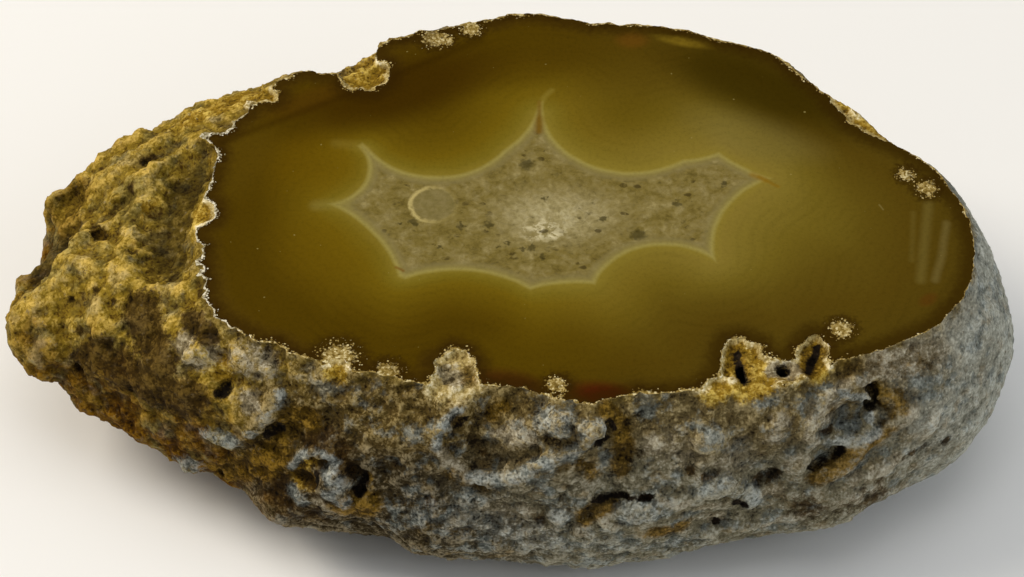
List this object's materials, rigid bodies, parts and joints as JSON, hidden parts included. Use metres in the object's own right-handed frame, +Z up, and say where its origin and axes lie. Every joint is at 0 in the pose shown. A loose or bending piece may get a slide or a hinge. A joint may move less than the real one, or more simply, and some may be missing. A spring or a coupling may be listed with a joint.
{
  "type": "agate slice",
  "caption": "Thick slice of an agate nodule with a flat polished top, a flat sawn underside and the stone's own rough skin round the sides; an ornament or paperweight.",
  "frame": {"origin": "middle of the sawn underside's bounding rectangle, on the surface that the stone rests on", "axes": "+X along the stone's length with the ochre end at -X, +Y away from the side with the knobs and pockets, +Z up out of the polished face"},
  "size_m": [0.1138, 0.0684, 0.029],
  "materials": {
    "agate": "olive-brown banded agate with a cloudy quartz heart, gloss polished on top, matt sawn underneath, rough ochre and grey skin round the sides"
  },
  "bodies": {
    "root": {"agate_slice": "agate"}
  },
  "joints": []
}
